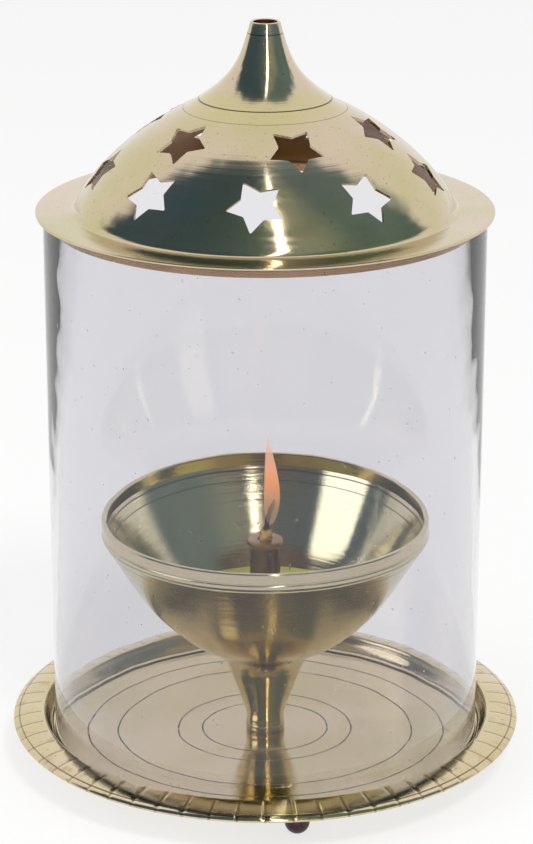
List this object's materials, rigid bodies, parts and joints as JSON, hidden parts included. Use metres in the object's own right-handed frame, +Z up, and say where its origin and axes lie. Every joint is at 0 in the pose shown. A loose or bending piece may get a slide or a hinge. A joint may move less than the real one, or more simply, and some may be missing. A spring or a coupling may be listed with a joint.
{
  "type": "brass oil lamp with chimney",
  "caption": "Table oil lamp: footed brass dish, turned oil bowl with wick burner, clear glass cylinder chimney and a domed brass lid with star holes and an open spire.",
  "frame": {"origin": "on the lamp's turning axis, at the level of the surface that its feet stand on", "axes": "+Z up along the turning axis, -Y towards the pictured front, +X to the right seen from the front"},
  "size_m": [0.1436, 0.1436, 0.2085],
  "materials": {
    "spun_brass": "polished spun sheet with fine turning lines",
    "cast_brass": "turned and polished casting",
    "plain_brass": "dull brass hardware",
    "dark_foot": "darkened, slightly glossy",
    "clear_glass": "clear with a faint lilac tint",
    "lamp_oil": "clear yellow oil",
    "cotton_wick": "waxy cotton, burnt black at its tip"
  },
  "bodies": {
    "stand": {"base_plate": "spun_brass", "foot_1": "dark_foot", "foot_2": "dark_foot", "foot_3": "dark_foot", "stem_washer": "cast_brass", "base_stud": "plain_brass", "base_washer": "plain_brass", "base_nut": "plain_brass", "oil_bowl": "cast_brass", "lamp_oil": "lamp_oil"},
    "chimney": {"glass_chimney": "clear_glass"},
    "lid": {"lid_dome": "spun_brass", "lid_collar": "plain_brass"},
    "burner": {"burner_tube": "cast_brass", "burner_cap": "cast_brass"},
    "wick": {"wick": "cotton_wick"}
  },
  "joints": [
    {"name": "chimney_lift", "type": "slide", "parent": "stand", "child": "chimney", "axis": [0, 0, 1], "range_m": [0, 0.075]},
    {"name": "lid_lift", "type": "slide", "parent": "chimney", "child": "lid", "axis": [0, 0, 1], "range_m": [0, 0.05]},
    {"name": "burner_lift", "type": "slide", "parent": "stand", "child": "burner", "axis": [0, 0, 1], "range_m": [0, 0.05]},
    {"name": "wick_feed", "type": "slide", "parent": "burner", "child": "wick", "axis": [0, 0, 1], "range_m": [0, 0.008]}
  ]
}
